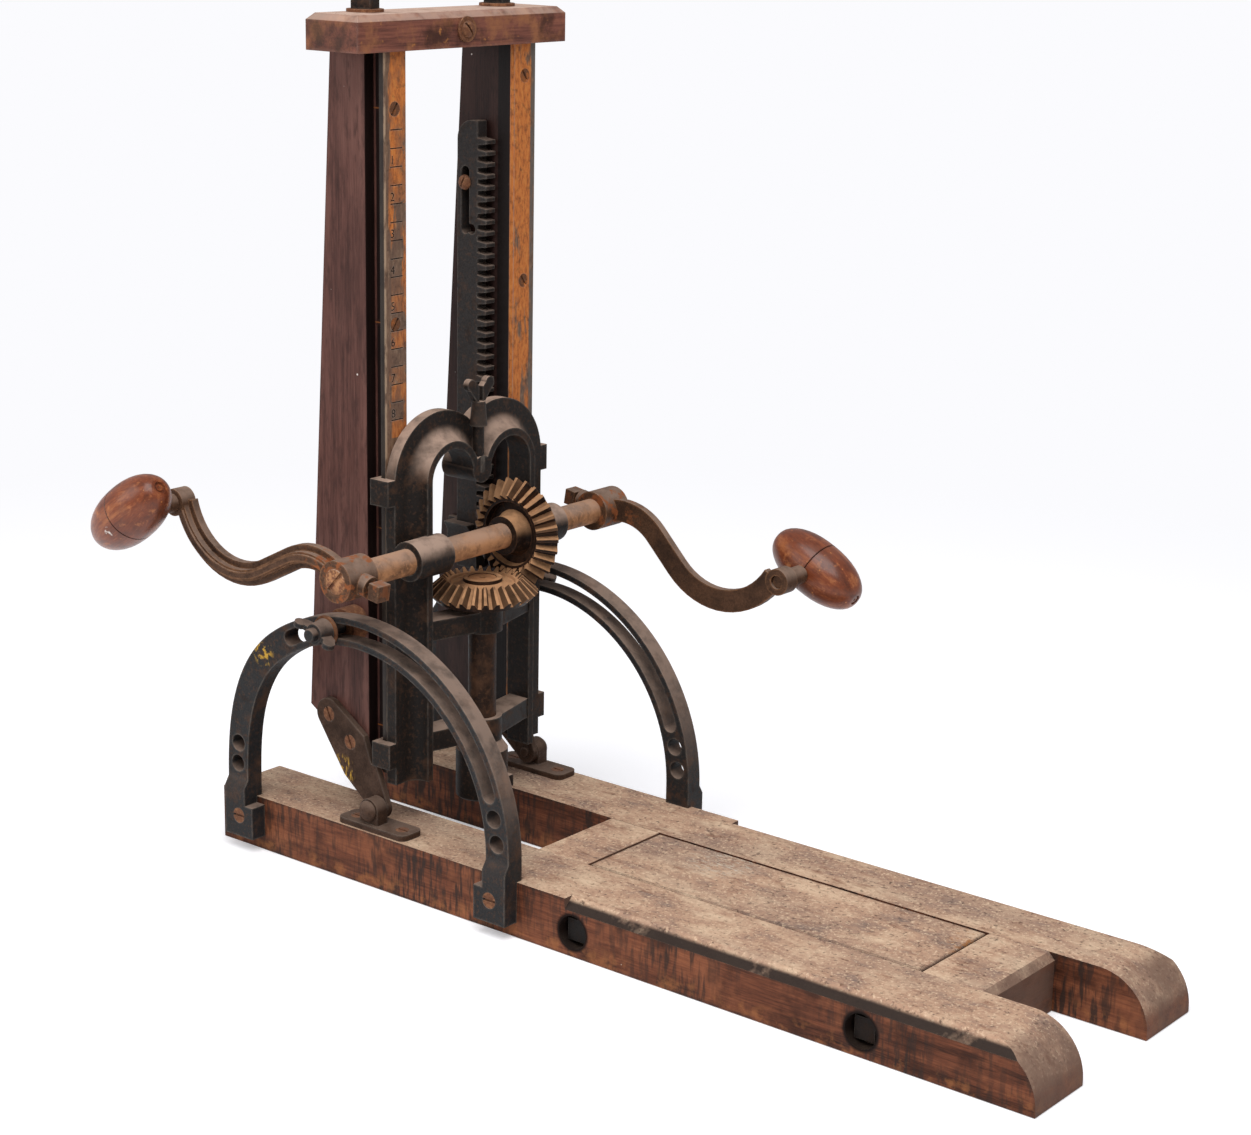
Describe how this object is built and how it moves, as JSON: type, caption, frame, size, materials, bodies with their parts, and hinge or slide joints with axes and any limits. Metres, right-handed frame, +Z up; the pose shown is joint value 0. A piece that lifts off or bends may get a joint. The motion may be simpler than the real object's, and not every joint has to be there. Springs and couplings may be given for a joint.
{
  "type": "hand-cranked beam drill",
  "caption": "Antique hand-cranked beam drill: a sled base to sit on, a tilting upright frame on slotted quadrants, and a sliding carriage whose bevel gears turn an auger spindle.",
  "frame": {"origin": "on the ground, at the middle of the base", "axes": "+X along the rails towards the seat end, +Z up"},
  "size_m": [0.7406, 0.4188, 0.6372],
  "materials": {
    "stained_beech": "worn red-brown stain",
    "dusty_beech": "dusty, unpolished",
    "dark_walnut": "dark stain",
    "rusty_strip": "orange rust, worn edges",
    "varnished_maple": "turned, old varnish",
    "rusty_iron": "brown rust",
    "rusty_screw": "rusted",
    "black_iron": "dull black with brown dust"
  },
  "bodies": {
    "base": {"near_rail": "stained_beech", "far_rail": "stained_beech", "front_cross_rail": "dusty_beech", "seat_panel": "dusty_beech", "seat_end_rail": "dusty_beech", "cross_bolts": "black_iron", "cross_nuts": "black_iron", "cross_washers": "black_iron", "near_quadrant": "black_iron", "far_quadrant": "black_iron", "quadrant_screws": "rusty_screw", "near_hinge_plate": "black_iron", "far_hinge_plate": "black_iron", "hinge_plate_screws": "rusty_screw", "hinge_pins": "rusty_iron"},
    "drill_frame": {"near_upright": "dark_walnut", "far_upright": "dark_walnut", "near_guide_strip": "rusty_strip", "far_guide_strip": "rusty_strip", "strip_screws": "rusty_screw", "cap_beam": "stained_beech", "tie_rods": "black_iron", "cap_washers": "rusty_screw", "cap_nuts": "black_iron", "cap_screw": "black_iron", "cap_screw_washer": "black_iron", "near_strap": "black_iron", "far_strap": "black_iron", "strap_screws": "rusty_screw", "clamp_bolts": "black_iron", "clamp_collars": "rusty_screw", "clamp_washers": "rusty_screw", "rack_screw": "black_iron", "rack_keeper": "black_iron", "keeper_screw": "rusty_screw"},
    "carriage": {"carriage_frame": "black_iron"},
    "thumb_screw": {"thumb_screw": "black_iron"},
    "rack": {"rack": "black_iron"},
    "near_wing_nut": {"near_wing_nut": "black_iron"},
    "far_wing_nut": {"far_wing_nut": "black_iron"},
    "crank": {"crank_shaft": "rusty_iron", "upper_gear": "rusty_iron", "near_crank_arm": "rusty_iron", "far_crank_arm": "rusty_iron", "crank_set_screws": "rusty_iron", "near_handle_pin": "rusty_iron", "far_handle_pin": "rusty_iron"},
    "near_handle": {"near_handle": "varnished_maple"},
    "far_handle": {"far_handle": "varnished_maple"},
    "spindle": {"spindle": "rusty_iron", "lower_gear": "rusty_iron", "auger_socket": "black_iron", "socket_screw": "black_iron"}
  },
  "joints": [
    {"name": "frame_tilt", "type": "hinge", "parent": "base", "child": "drill_frame", "pos_m": [-0.207, 0, 0.0555], "axis": [0, 1, 0], "range_deg": [-8, 45]},
    {"name": "carriage_slide", "type": "slide", "parent": "drill_frame", "child": "carriage", "axis": [0, 0, 1], "range_m": [0, 0.225]},
    {"name": "thumb_screw_turn", "type": "hinge", "parent": "carriage", "child": "thumb_screw", "pos_m": [-0.186, 0, 0.32], "axis": [0, 0, 1], "continuous": true},
    {"name": "rack_slide", "type": "slide", "parent": "drill_frame", "child": "rack", "axis": [0, 0, 1], "range_m": [-0.008, 0.034]},
    {"name": "near_wing_nut_turn", "type": "hinge", "parent": "drill_frame", "child": "near_wing_nut", "pos_m": [-0.23324, -0.118, 0.19047], "axis": [0, -1, 0], "continuous": true},
    {"name": "far_wing_nut_turn", "type": "hinge", "parent": "drill_frame", "child": "far_wing_nut", "pos_m": [-0.23324, 0.118, 0.19047], "axis": [0, 1, 0], "continuous": true},
    {"name": "crank_turn", "type": "hinge", "parent": "carriage", "child": "crank", "pos_m": [-0.1815, 0, 0.245], "axis": [0, 1, 0], "continuous": true},
    {"name": "spindle_turn", "type": "hinge", "parent": "carriage", "child": "spindle", "pos_m": [-0.1815, 0, 0.15], "axis": [0, 0, 1], "continuous": true},
    {"name": "near_handle_turn", "type": "hinge", "parent": "crank", "child": "near_handle", "pos_m": [-0.34926, -0.18, 0.27247], "axis": [0, 1, 0], "continuous": true},
    {"name": "far_handle_turn", "type": "hinge", "parent": "crank", "child": "far_handle", "pos_m": [-0.01374, 0.18, 0.21753], "axis": [0, 1, 0], "continuous": true}
  ],
  "couplings": [
    {"joint": "spindle_turn", "follows": "crank_turn", "ratio": 1}
  ]
}
